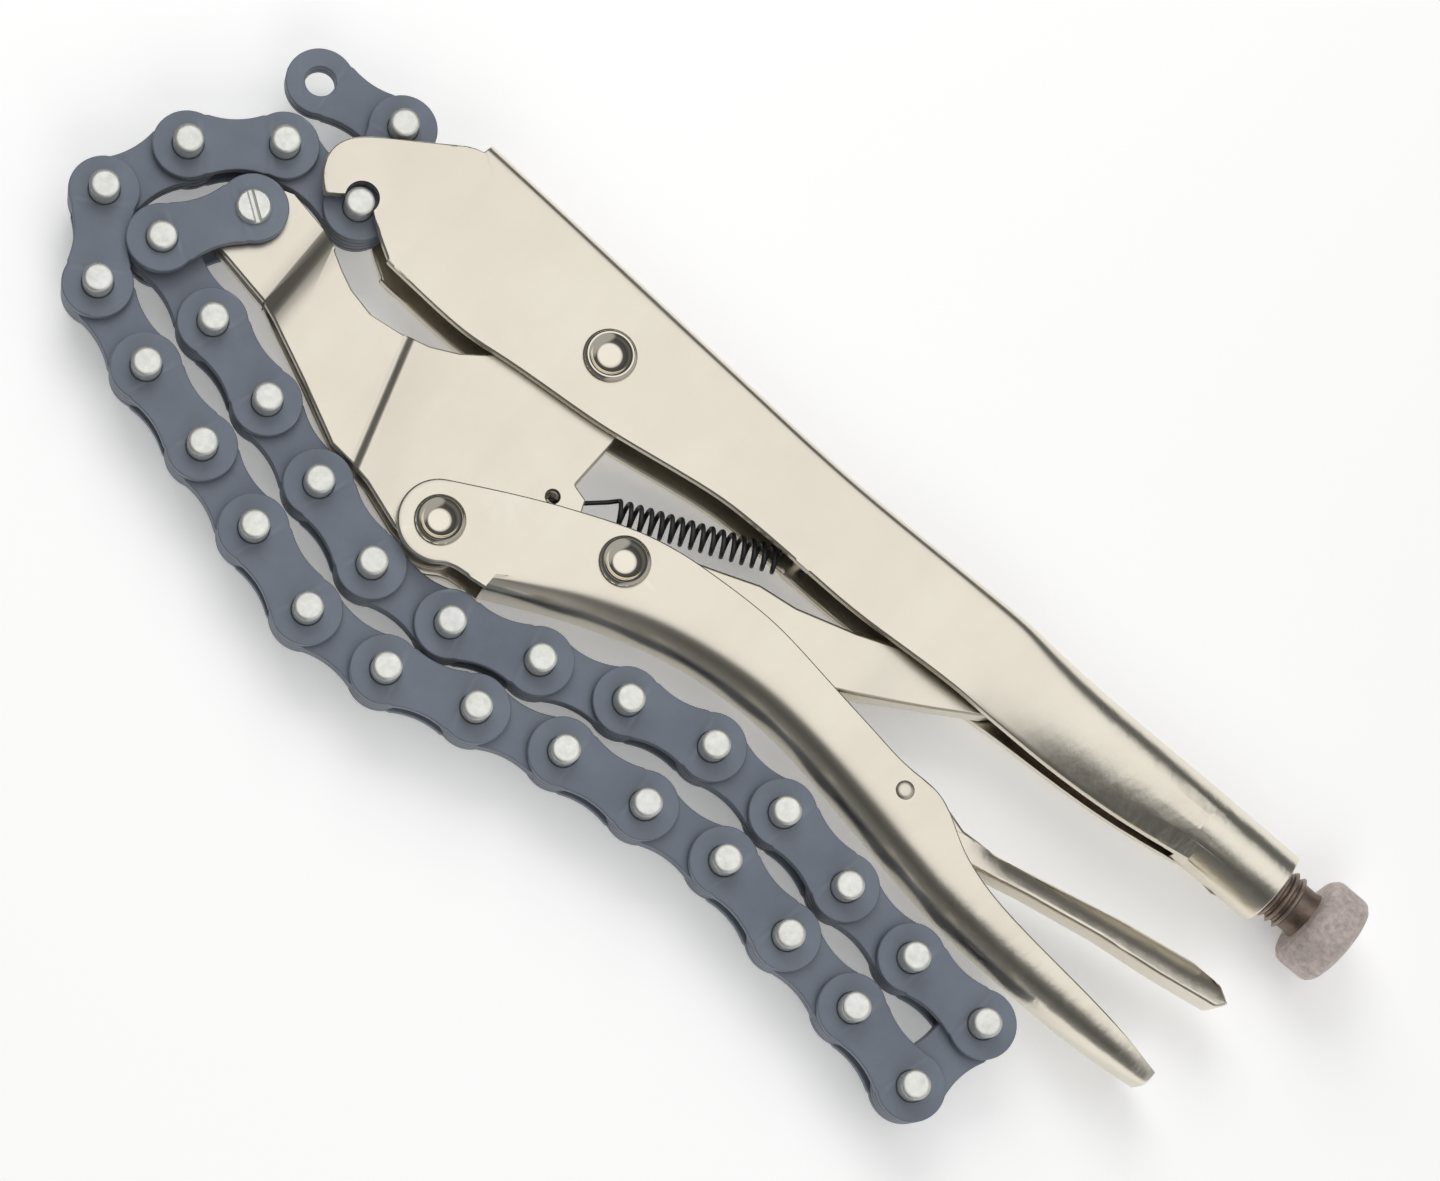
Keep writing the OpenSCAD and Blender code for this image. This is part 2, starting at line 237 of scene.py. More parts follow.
def apply_modifier(piece: Object, kind: str, **settings: object) -> None:
    """Adds a modifier, sets it and applies it.

    Args:
        piece: The mesh.
        kind: Blender's modifier type.
        settings: The modifier's values.
    """
    modifier = piece.modifiers.new(kind.lower(), kind)
    for key, value in settings.items():
        setattr(modifier, key, value)
    pick(piece)
    bpy.ops.object.modifier_apply(modifier=modifier.name)


def weld(piece: Object, reach: float) -> None:
    """Merges the corners of a mesh that lie on each other.

    Args:
        piece: The mesh.
        reach: How far apart they may be.
    """
    with edit(piece, whole=True):
        bpy.ops.mesh.remove_doubles(threshold=reach * MM)


def soften(
    piece: Object, width: float, segments: int = 2, sharp: float = 40, marked: bool = False,
    shade: float = 50, reach: float = 0.002,
) -> None:
    """Rounds the sharp edges of a piece and evens its shading.

    Args:
        piece: The mesh.
        width: Width of the rounding.
        segments: Steps across the rounding.
        sharp: Least angle of an edge that is rounded.
        marked: Whether the marked edges are rounded instead of all sharp ones.
        shade: Largest angle that is shaded smooth.
        reach: How far apart corners may be that are merged after the rounding.
    """
    apply_modifier(
        piece, "BEVEL", width=width * MM, segments=segments, limit_method="WEIGHT" if marked else "ANGLE",
        angle_limit=math.radians(sharp), use_clamp_overlap=False, miter_outer="MITER_ARC",
    )
    weld(piece, reach)
    pick(piece)
    bpy.ops.object.shade_smooth_by_angle(angle=math.radians(shade))
    apply_modifier(piece, "WEIGHTED_NORMAL", keep_sharp=True, weight=90)


def press_smooth(
    piece: Object, levels: int = 2, flat: float = 30, square: float = 60, sharp: float = 35,
) -> None:
    """Smooths the facets of a pressed sheet and keeps its cut edges sharp.

    Args:
        piece: The merged copy of a solid.
        levels: Steps of subdivision.
        flat: Largest bend between two triangles that are joined.
        square: How far from square the joined face may be.
        sharp: Least angle of an edge that stays sharp.
    """
    with edit(piece, whole=True):
        bpy.ops.mesh.tris_convert_to_quads(
            face_threshold=math.radians(flat), shape_threshold=math.radians(square),
        )
        select_sharp(sharp)
        bpy.ops.transform.edge_crease(value=1)
    apply_modifier(piece, "SUBSURF", levels=levels, render_levels=levels)


def mark_outline(piece: Object, spared: Sequence[tuple[Vector, float]], sharp: float = 40) -> None:
    """Marks the sharp edges of a sheet for rounding, apart from those around its bores.

    Args:
        piece: The smoothed sheet.
        spared: Centre and reach in metres of each place that keeps its edges.
        sharp: Least angle of an edge that is marked.
    """
    with edit(piece):
        select_sharp(sharp)
    weights = piece.data.attributes.new("bevel_weight_edge", "FLOAT", "EDGE")
    corners = piece.data.vertices
    for edge in piece.data.edges:
        middle = (corners[edge.vertices[0]].co + corners[edge.vertices[1]].co) / 2
        clear = all((middle - centre).xy.length > reach for centre, reach in spared)
        weights.data[edge.index].value = float(edge.select and clear)


def slice_across(piece: Object, place: Vector, normal: Sequence[float]) -> None:
    """Cuts a straight line around a piece.

    Args:
        piece: The mesh.
        place: A point on the cut.
        normal: The direction that the cut faces.
    """
    with edit(piece, whole=True):
        bpy.ops.mesh.bisect(plane_co=place, plane_no=normal)


def ease(value: float, low: float, high: float) -> float:
    """Rises softly from 0 to 1 between two values.

    Args:
        value: The place.
        low: Where the rise begins.
        high: Where it ends.

    Returns:
        The share.
    """
    share = min(max((value - low) / (high - low), 0), 1)
    return share * share * (3 - 2 * share)


def both_ends(profile: Sequence[tuple[float, float]]) -> list[tuple[float, float]]:
    """Mirrors the profile of a turned end, for a piece that is alike at both ends.

    Args:
        profile: Radius and height of each ring of the upper end, from the middle outwards.

    Returns:
        The rings of the whole piece, from bottom to top.
    """
    return [(radius, -height) for radius, height in reversed(profile)] + list(profile)


def turned(name: str, rings: Sequence[tuple[float, float]], sides: int, shade: float = 35) -> Object:
    """Turns a round piece about Z by extruding a disc from ring to ring.

    Args:
        name: The piece's name.
        rings: Radius and height of each ring, from bottom to top.
        sides: Facets around the piece.
        shade: Largest angle that is shaded smooth.

    Returns:
        The closed piece, standing on its axis.
    """
    rings = [(radius * MM, height * MM) for radius, height in rings]
    first_r, first_z = rings[0]
    deselect()
    bpy.ops.mesh.primitive_circle_add(vertices=sides, radius=first_r, fill_type="NGON")
    piece = bpy.context.object
    piece.name = name
    settle(piece, Matrix.Translation((0, 0, first_z)))
    with edit(piece, whole=True):
        for (r0, z0), (r1, z1) in zip(rings, rings[1:]):
            bpy.ops.mesh.extrude_region_move(TRANSFORM_OT_translate={"value": (0, 0, z1 - z0)})
            bpy.ops.transform.resize(value=(r1 / r0, r1 / r0, 1), center_override=(0, 0, z1))
    face_outwards(piece)
    pick(piece)
    bpy.ops.object.shade_smooth_by_angle(angle=math.radians(shade))
    return piece


# Finishes


@dataclass
class NodeSheet:
    """Lays out the nodes of one material or group."""

    tree: Tree

    def add(self, kind: str, inputs: dict[str, object] | None = None, **settings: object) -> Node:
        """Adds a node, sets its values and links its inputs.

        Args:
            kind: Blender's node type.
            inputs: Socket name to a value, or to the socket that feeds it.
            settings: The node's own options.

        Returns:
            The new node.
        """
        node = self.tree.nodes.new(kind)
        for key, value in settings.items():
            setattr(node, key, value)
        for key, value in (inputs or {}).items():
            socket = node.inputs[int(key)] if key.isdigit() else node.inputs[key]
            if isinstance(value, Socket):
                self.tree.links.new(value, socket)
            else:
                socket.default_value = value
        return node

    def math(self, operation: str, a: object, b: object = 0.0, c: object = 0.0) -> Socket:
        """Adds one step of arithmetic.

        Args:
            operation: Blender's operation name.
            a: First value or socket.
            b: Second value or socket.
            c: Third value or socket.

        Returns:
            The result.
        """
        node = self.add("ShaderNodeMath", {"0": a, "1": b, "2": c}, operation=operation)
        return node.outputs[0]

    def mix(self, factor: object, low: object, high: object) -> Socket:
        """Mixes two colours.

        Args:
            factor: Share of the second colour.
            low: First colour.
            high: Second colour.

        Returns:
            The mixed colour.
        """
        node = self.add("ShaderNodeMix", {"0": factor, "6": low, "7": high}, data_type="RGBA")
        return node.outputs[2]


@dataclass
class EffectShelf:
    """Builds each shared shader group once and hands it out."""

    broad_scale: float = 0.12
    broad_share: float = 0.6
    groups: dict[Effect, Tree] = field(default_factory=dict)

    def take(self, effect: Effect) -> Tree:
        """Gives a group, built on first use.

        Args:
            effect: The wanted group.

        Returns:
            The group's node tree.
        """
        if effect not in self.groups:
            makers = {Effect.GRAIN: self.grain, Effect.MOTTLE: self.mottle, Effect.RUB: self.rub}
            self.groups[effect] = makers[effect]()
        return self.groups[effect]

    @staticmethod
    def start(
        effect: Effect, inputs: dict[str, float], outputs: Sequence[str],
    ) -> tuple[NodeSheet, Node, Node]:
        """Makes an empty group with its sockets.

        Args:
            effect: The group's name.
            inputs: Input names and their usual values.
            outputs: Output names.

        Returns:
            The sheet, the group's input node and its output node.
        """
        tree = bpy.data.node_groups.new(effect.value, "ShaderNodeTree")
        for name, value in inputs.items():
            socket = tree.interface.new_socket(name, in_out="INPUT", socket_type="NodeSocketFloat")
            socket.default_value = value
        for name in outputs:
            tree.interface.new_socket(name, in_out="OUTPUT", socket_type="NodeSocketFloat")
        sheet = NodeSheet(tree)
        return sheet, sheet.add("NodeGroupInput"), sheet.add("NodeGroupOutput")

    def grain(self) -> Tree:
        """Fine lines left by rolling and buffing, drawn out across the tool.

        Returns:
            The group with Height and Shade outputs.
        """
        usual = {"Scale": 900.0, "Draw": 0.06}
        sheet, given, out = self.start(Effect.GRAIN, usual, ("Height", "Shade"))
        place = sheet.add("ShaderNodeTexCoord").outputs["Object"]
        stretch = sheet.add("ShaderNodeCombineXYZ", {"X": 1.0, "Y": given.outputs["Draw"], "Z": 1.0})
        drawn = sheet.add(
            "ShaderNodeVectorMath", {"0": place, "1": stretch.outputs[0]}, operation="MULTIPLY",
        )
        fine = sheet.add("ShaderNodeTexNoise", {
            "Vector": drawn.outputs[0], "Scale": given.outputs["Scale"], "Detail": 4.0, "Roughness": 0.6,
        })
        broad_scale = sheet.math("MULTIPLY", given.outputs["Scale"], self.broad_scale)
        broad = sheet.add("ShaderNodeTexNoise", {
            "Vector": drawn.outputs[0], "Scale": broad_scale, "Detail": 3.0,
        })
        sheet.tree.links.new(fine.outputs["Fac"], out.inputs["Height"])
        fine_part = sheet.math("MULTIPLY", fine.outputs["Fac"], 1 - self.broad_share)
        shade = sheet.math("MULTIPLY_ADD", broad.outputs["Fac"], self.broad_share, fine_part)
        sheet.tree.links.new(shade, out.inputs["Shade"])
        return sheet.tree

    def mottle(self) -> Tree:
        """Slow cloudy change over a surface.

        Returns:
            The group with a Mask output.
        """
        usual = {"Scale": 60.0, "Low": 0.35, "High": 0.7}
        sheet, given, out = self.start(Effect.MOTTLE, usual, ("Mask",))
        place = sheet.add("ShaderNodeTexCoord").outputs["Object"]
        cloud = sheet.add("ShaderNodeTexNoise", {
            "Vector": place, "Scale": given.outputs["Scale"], "Detail": 5.0, "Roughness": 0.62,
        })
        level = sheet.add("ShaderNodeMapRange", {
            "Value": cloud.outputs["Fac"],
            "From Min": given.outputs["Low"],
            "From Max": given.outputs["High"],
        })
        sheet.tree.links.new(level.outputs["Result"], out.inputs["Mask"])
        return sheet.tree

    def rub(self) -> Tree:
        """Paler metal along worn edges.

        Returns:
            The group with a Mask output.
        """
        usual = {"Start": 0.52, "Full": 0.62, "Scale": 400.0}
        sheet, given, out = self.start(Effect.RUB, usual, ("Mask",))
        edge = sheet.add("ShaderNodeNewGeometry").outputs["Pointiness"]
        place = sheet.add("ShaderNodeTexCoord").outputs["Object"]
        chips = sheet.add("ShaderNodeTexNoise", {
            "Vector": place, "Scale": given.outputs["Scale"], "Detail": 3.0,
        })
        level = sheet.add("ShaderNodeMapRange", {
            "Value": edge, "From Min": given.outputs["Start"], "From Max": given.outputs["Full"],
        })
        worn = sheet.math("MULTIPLY", level.outputs["Result"], chips.outputs["Fac"])
        sheet.tree.links.new(worn, out.inputs["Mask"])
        return sheet.tree


@dataclass(frozen=True)
class Crease:
    """A bend line across a pressed sheet, which steps up on one side. Its place is in the frame."""

    place: tuple[float, float]
    lean: float
    width: float
    rise: float

    def height(self, sheet: NodeSheet, place: Socket) -> Socket:
        """Gives the step's height over the surface.

        Args:
            sheet: The material's sheet.
            place: The surface's Object coordinates.

        Returns:
            The height in metres.
        """
        turn = math.radians(self.lean)
        across = (math.cos(turn), math.sin(turn), 0)
        along = sheet.add("ShaderNodeVectorMath", {"0": place, "1": across}, operation="DOT_PRODUCT")
        begin = (self.place[0] * across[0] + self.place[1] * across[1]) * MM
        step = sheet.add("ShaderNodeMapRange", {
            "Value": along.outputs["Value"],
            "From Min": begin,
            "From Max": begin + self.width * MM,
            "To Max": self.rise * MM,
        }, interpolation_type="SMOOTHSTEP")
        return step.outputs["Result"]


@dataclass(frozen=True)
class MetalFinish:
    """One metal surface: its colours, gloss, grain, wear, press marks and creases."""

    name: str
    colour: Colour
    cloud: Colour
    worn: Colour
    metallic: float
    roughness: float
    rough_spread: float
    grain_depth: float
    mottle_scale: float
    grain_scale: float = 900.0
    grain_draw: float = 1.0
    mark_depth: float = 0.0
    mark_from: float = 50.0
    mark_run: float = 20.0
    mark_scale: float = 330.0
    mark_stretch: Point = (1, 0.45, 0.45)
    creases: tuple[Crease, ...] = ()

    def build(self, shelf: EffectShelf) -> Material:
        """Makes the material.

        Args:
            shelf: Where the shared groups come from.

        Returns:
            The finished material.
        """
        material = bpy.data.materials.new(self.name)
        material.use_nodes = True
        sheet = NodeSheet(material.node_tree)
        shader = material.node_tree.nodes["Principled BSDF"]
        grain = sheet.add("ShaderNodeGroup", {
            "Scale": self.grain_scale, "Draw": self.grain_draw,
        }, node_tree=shelf.take(Effect.GRAIN))
        mottle = sheet.add("ShaderNodeGroup", {
            "Scale": self.mottle_scale,
        }, node_tree=shelf.take(Effect.MOTTLE))
        rub = sheet.add("ShaderNodeGroup", node_tree=shelf.take(Effect.RUB))
        colour = sheet.mix(mottle.outputs["Mask"], (*self.colour, 1), (*self.cloud, 1))
        colour = sheet.mix(rub.outputs["Mask"], colour, (*self.worn, 1))
        sheet.tree.links.new(colour, shader.inputs["Base Color"])
        smoothest = self.roughness - self.rough_spread / 2
        rough = sheet.math("MULTIPLY_ADD", grain.outputs["Shade"], self.rough_spread, smoothest)
        sheet.tree.links.new(rough, shader.inputs["Roughness"])
        shader.inputs["Metallic"].default_value = self.metallic
        bump = sheet.add("ShaderNodeBump", {
            "Height": grain.outputs["Height"], "Strength": 1.0, "Distance": self.grain_depth * MM,
        })
        if self.mark_depth:
            bump = self.press_marks(sheet, bump)
        for crease in self.creases:
            place = sheet.add("ShaderNodeTexCoord").outputs["Object"]
            bump = sheet.add("ShaderNodeBump", {
                "Height": crease.height(sheet, place),
                "Strength": 1.0,
                "Distance": 1.0,
                "Normal": bump.outputs["Normal"],
            })
        sheet.tree.links.new(bump.outputs["Normal"], shader.inputs["Normal"])
        return material

    def press_marks(self, sheet: NodeSheet, under: Node) -> Node:
        """Adds the marks that rolling the tube leaves behind a place along the tool.

        Args:
            sheet: The material's sheet.
            under: The bump that the marks lie on.

        Returns:
            The bump with the marks.
        """
        place = sheet.add("ShaderNodeTexCoord").outputs["Object"]
        along = sheet.add("ShaderNodeSeparateXYZ", {"Vector": place}).outputs["X"]
        reach = sheet.add("ShaderNodeMapRange", {
            "Value": along,
            "From Min": self.mark_from * MM,
            "From Max": (self.mark_from + self.mark_run) * MM,
        })
        drawn = sheet.add(
            "ShaderNodeVectorMath", {"0": place, "1": self.mark_stretch}, operation="MULTIPLY",
        )
        wave = sheet.add("ShaderNodeTexNoise", {
            "Vector": drawn.outputs[0], "Scale": self.mark_scale, "Detail": 5.0,
        })
        height = sheet.math("MULTIPLY", wave.outputs["Fac"], reach.outputs["Result"])
        return sheet.add("ShaderNodeBump", {
            "Height": height,
            "Strength": 1.0,
            "Distance": self.mark_depth * MM,
            "Normal": under.outputs["Normal"],
        })


class Finishes:
    """Every finish of the tool, each built once."""

    def __init__(self) -> None:
        """Builds all finishes."""
        shelf = EffectShelf()
        nickel = {
            "colour": (0.87, 0.815, 0.70), "cloud": (0.82, 0.76, 0.65), "worn": (0.92, 0.87, 0.77),
            "metallic": 1.0, "grain_scale": 1500.0, "grain_draw": 0.05, "mottle_scale": 45.0,
        }
        self.body = MetalFinish(
            "satin_nickel", roughness=0.29, rough_spread=0.10, grain_depth=0.004, mark_depth=0.2, **nickel,
        ).build(shelf)
        first_bend = Crease((-87.4, 5.6), 2.5, 8.6, 0.95)
        second_bend = Crease((-59.9, -2.8), 17.6, 1.6, 0.34)
        after_bend = Crease((-58.0, -2.8), 17.0, 8.0, 0.3)
        self.jaw = MetalFinish(
            "buffed_nickel", roughness=0.30, rough_spread=0.12, grain_depth=0.006,
            creases=(first_bend, second_bend, after_bend), **nickel,
        ).build(shelf)
        self.polished = MetalFinish(
            "polished_nickel", roughness=0.07, rough_spread=0.04, grain_depth=0.001, **nickel,
        ).build(shelf)
        self.link = MetalFinish(
            "blue_grey_oxide", colour=(0.205, 0.231, 0.276), cloud=(0.165, 0.188, 0.230),
            worn=(0.34, 0.37, 0.42), metallic=0.3, roughness=0.48, rough_spread=0.14,
            grain_scale=1800.0, grain_depth=0.012, mottle_scale=70.0,
        ).build(shelf)
        self.pin = MetalFinish(
            "ground_pin", colour=(0.92, 0.925, 0.87), cloud=(0.74, 0.75, 0.70), worn=(0.95, 0.95, 0.91),
            metallic=0.8, roughness=0.31, rough_spread=0.2, grain_scale=1400.0, grain_depth=0.03,
            mottle_scale=700.0,
        ).build(shelf)
        self.knob = MetalFinish(
            "rough_knob", colour=(0.73, 0.63, 0.595), cloud=(0.44, 0.37, 0.345), worn=(0.82, 0.74, 0.70),
            metallic=0.3, roughness=0.56, rough_spread=0.24, grain_depth=0.22, mottle_scale=900.0,
        ).build(shelf)
        self.thread = MetalFinish(
            "brown_thread", colour=(0.25, 0.185, 0.145), cloud=(0.12, 0.09, 0.075), worn=(0.5, 0.42, 0.36),
            metallic=0.7, roughness=0.42, rough_spread=0.2, grain_depth=0.04, mottle_scale=500.0,
        ).build(shelf)
        self.wire = MetalFinish(
            "black_wire", colour=(0.018, 0.018, 0.02), cloud=(0.03, 0.03, 0.032), worn=(0.12, 0.12, 0.12),
            metallic=0.5, roughness=0.38, rough_spread=0.1, grain_depth=0.01, mottle_scale=300.0,
        ).build(shelf)


@dataclass
class Workbench:
    """The frame, the finishes and the way a finished piece is put on a body."""

    frame: dict[str, object]
    finishes: Finishes
    body_of: dict[str, str] = field(default_factory=dict)
    flat_weld: float = 0.06
    sheet_weld: float = 0.03
    flat_bend: float = 0.1

    def __post_init__(self) -> None:
        """Looks up which body each node belongs to."""
        for body, nodes in self.frame["record"]["behaviour"]["bodies"].items():
            for node in nodes:
                self.body_of[node] = body

    def joint(self, name: str) -> Vector:
        """Gives a joint's place at rest."""
        return Vector(next(j["pos_m"] for j in self.frame["joints"] if j["name"] == name))

    def mount(self, name: str) -> Vector:
        """Gives a mount's place at rest."""
        return Vector(next(m["pos_m"] for m in self.frame["record"]["mounts"] if m["name"] == name))

    def at(self, x: float, y: float, z: float = 0) -> Vector:
        """Gives a place that is measured from the jaw's pivot."""
        return self.joint("jaw_open") + Vector((x, y, z)) * MM

    def measure(self, place: Vector) -> Vector:
        """Measures a place from the jaw's pivot, in millimetres."""
        return (place - self.joint("jaw_open")) / MM

    def raw_copy(self, node: str, name: str, flats: bool = True) -> Object:
        """Copies a solid's mesh with its corners merged.

        Args:
            node: The solid's node.
            name: The copy's name.
            flats: Whether the triangles of a flat are merged into one face.

        Returns:
            The copy.
        """
        piece = twin(self.frame["nodes"][node], name)
        pick(piece)
        if piece.data.has_custom_normals:
            bpy.ops.mesh.customdata_custom_splitnormals_clear()
        weld(piece, self.flat_weld if flats else self.sheet_weld)
        if flats:
            with edit(piece, whole=True):
                bpy.ops.mesh.dissolve_limited(angle_limit=math.radians(self.flat_bend))
        return piece

    def finish(self, piece: Object, node: str, material: Material, slot: Slot) -> Object:
        """Dresses a piece and sets it on its body in place of a solid.

        Args:
            piece: The modelled piece.
            node: The solid that it stands for.
            material: Its finish.
            slot: The record's slot of that finish; not used.

        Returns:
            The piece.
        """
        piece.data.materials.clear()
        piece.data.materials.append(material)
        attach(piece, self.body_of[node])
        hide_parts(node)
        LOG.info("%s stands for %s on %s", piece.name, node, self.body_of[node])
        return piece


# Sub-assemblies


@dataclass
class PressedBody:
    """The channel handles, jaw, toggle and lever, with the soft edges of pressed sheet.

    Places are measured from the jaw's pivot. A spared joint or spot has its reach beside it, and a cut
    beside the joggle its lean. The lever is cut in rows across it and in lines above its foot.
    """

    bench: Workbench
    sheet_edge: float = 0.32
    lever_edge: float = 0.7
    toggle_edge: float = 0.6
    edge_steps: int = 4
    spared_joints: tuple[tuple[str, float], ...] = (
        ("jaw_open", 5.5), ("handle_open", 5.5), ("toggle_swing", 5.5), ("lever_press", 3.0),
        ("chain_joint_31", 4.2),
    )
    spared_spots: tuple[Point, ...] = ((46.5, -3.6, 3), (9.3, -42, 4))
    tube_run: range = range(88, 134, 4)
    tube_axis: float = 5.8
    tube_reach: float = 7.8
    joggle_cuts: Profile = (
        (-51.6, 2), (-47.5, 3), (-43.4, 3), (-28.0, 17.6), (-17.0, 17),
    )
    joggle_level: float = -20
    taper_from: int = 62
    taper_to: int = 77
    taper_step: int = 3
    taper_weld: float = 0.01
    tip_half: float = 2.5
    lever_rows: tuple[float, ...] = (95.5, 98, 101, 105, 110, 116, 122, 128, 134, 140, 144)
    lever_lines: tuple[float, ...] = (0.6, 1.5, 2.4, 3.3, 4.2, 5.0)
    lever_foot: tuple[float, float] = (99.7, -26.3)
    lever_slope: float = 0.19
    roll_from: float = 95.5
    roll_full: float = 105
    roll_lean: float = 0.12
    roll_curve: float = 0.065
    side_slack: float = 0.1

    def build(self) -> None:
        """Makes all pressed pieces."""
        looks = self.bench.finishes
        plan = (
            ("upper_handle", "upper_shell", looks.body, self.press_channel),
            ("lower_handle", "lower_shell", looks.body, self.press_channel),
            ("lower_jaw", "jaw_shell", looks.jaw, self.ease_joggle),
            ("toggle_link", "toggle_bar", looks.jaw, self.taper_tip),
            ("release_lever", "finger_lever", looks.body, self.roll_lever),
        )
        for node, name, material, shape in plan:
            piece = self.bench.raw_copy(node, name, flats=shape != self.press_channel)
            shape(piece)
            self.bench.finish(piece, node, material, Slot.NICKEL)

    def press_channel(self, piece: Object) -> None:
        """Smooths a channel's rounded back and eases its cut outline.

        Args:
            piece: The channel's copy.
        """
        press_smooth(piece)
        mark_outline(piece, self.spared())
        soften(piece, self.sheet_edge, marked=True)

    def spared(self) -> list[tuple[Vector, float]]:
        """Lists the bores of both channels and the rolled tube, whose edges stay as they are cut.

        Returns:
            Centre and reach of each place, in metres.
        """
        bores = [(self.bench.joint(name), reach * MM) for name, reach in self.spared_joints]
        tube = [(x, self.tube_axis, self.tube_reach) for x in self.tube_run]
        spots = [*self.spared_spots, *tube]
        return bores + [(self.bench.at(x, y), reach * MM) for x, y, reach in spots]

    def ease_joggle(self, piece: Object) -> None:
        """Cuts lines beside the jaw's joggle, so that its shading bends softly.

        Args:
            piece: The jaw's copy.
        """
        for along, lean in self.joggle_cuts:
            turn = math.radians(lean)
            facing = (math.cos(turn), math.sin(turn), 0)
            slice_across(piece, self.bench.at(along, self.joggle_level), facing)
        soften(piece, self.sheet_edge, self.edge_steps)

    def taper_tip(self, piece: Object) -> None:
        """Draws the toggle's step out into a long slope towards its narrow tip.

        Args:
            piece: The toggle's copy.
        """
        for x in range(self.taper_from, self.taper_to, self.taper_step):
            slice_across(piece, self.bench.at(x, 0), (1, 0, 0))
        for vertex in piece.data.vertices:
            x, _, z = self.bench.measure(vertex.co)
            spare = max(abs(z) - self.tip_half, 0)
            vertex.co.z -= math.copysign(spare * ease(x, self.taper_from, self.taper_to) * MM, z)
        weld(piece, self.taper_weld)
        soften(piece, self.toggle_edge, self.edge_steps)

    def roll_lever(self, piece: Object) -> None:
        """Rolls both sides of the finger lever over towards the upper handle.

        Args:
            piece: The lever's copy.
        """
        foot_x, foot_y = self.lever_foot
        for x in self.lever_rows:
            slice_across(piece, self.bench.at(x, 0), (1, 0, 0))
        for rise in self.lever_lines:
            slice_across(piece, self.bench.at(foot_x, foot_y + rise), (-self.lever_slope, 1, 0))
        places = [self.bench.measure(vertex.co) for vertex in piece.data.vertices]
        side = max(abs(place.z) for place in places) - self.side_slack
        for vertex, (x, y, z) in zip(piece.data.vertices, places):
            if abs(z) > side:
                rise = max(y - foot_y - self.lever_slope * (x - foot_x), 0)
                drop = self.roll_lean * rise + self.roll_curve * rise**2
                drop *= ease(x, self.roll_from, self.roll_full)
                vertex.co.z -= math.copysign(drop * MM, z)
        soften(piece, self.lever_edge, self.edge_steps)


@dataclass
class Rivets:
    """Dished rivet heads, the lever's peened pin and the slotted nose screw.

    A head's profile gives shares of its radius and depths below its top, a crown's the rise over its end.
    """

    bench: Workbench
    shank: float = 3.0
    head: Profile = (
        (1, 1.1), (1, 0.75), (0.975, 0.48), (0.92, 0.24), (0.88, 0.06), (0.83, 0), (0.77, 0.1), (0.7, 0.42),
        (0.6, 0.84), (0.42, 1.16), (0.2, 1.24), (0.02, 1.26),
    )
    head_sides: int = 56
    crown: Profile = ((1, -0.1), (0.8, 0.1), (0.5, 0.2), (0.1, 0.24))
    crown_sides: int = 32
    screw_edge: float = 0.22

    def build(self) -> None:
        """Makes the three dished rivets, the lever's pin and the nose screw."""
        for node in ("jaw_rivet", "handle_rivet", "toggle_rivet"):
            self.bench.finish(self.dished(node), node, self.bench.finishes.polished, Slot.NICKEL)
        self.bench.finish(self.peened("lever_rivet"), "lever_rivet", self.bench.finishes.jaw, Slot.PIN)
        screw = self.bench.raw_copy("nose_screw", "nose_screw_head")
        soften(screw, self.screw_edge)
        self.bench.finish(screw, "nose_screw", self.bench.finishes.pin, Slot.PIN)

    @staticmethod
    def gauge(node: str) -> tuple[Vector, float, float]:
        """Measures a round solid that stands along Z.

        Args:
            node: The solid.

        Returns:
            Its centre, and its radius and half its height in millimetres.
        """
        low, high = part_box(node)
        return (low + high) / 2, (high.x - low.x) / 2 / MM, (high.z - low.z) / 2 / MM

    def dished(self, node: str) -> Object:
        """Turns one rivet with a rounded rim and a hollow in each head.

        Args:
            node: The solid that it stands for.

        Returns:
            The rivet.
        """
        centre, radius, half = self.gauge(node)
        head = [(radius * share, half - depth) for share, depth in self.head]
        wall = head[0][1]
        piece = turned(node + "_heads", both_ends([(self.shank, wall), *head]), self.head_sides)
        return settle(piece, Matrix.Translation(centre))

    def peened(self, node: str) -> Object:
        """Turns the lever's pin with a small hammered crown at each end.

        Args:
            node: The solid that it stands for.

        Returns:
            The pin.
        """
        centre, radius, half = self.gauge(node)
        crown = [(radius * share, half + rise) for share, rise in self.crown]
        piece = turned(node + "_crown", both_ends(crown), self.crown_sides)
        return settle(piece, Matrix.Translation(centre))


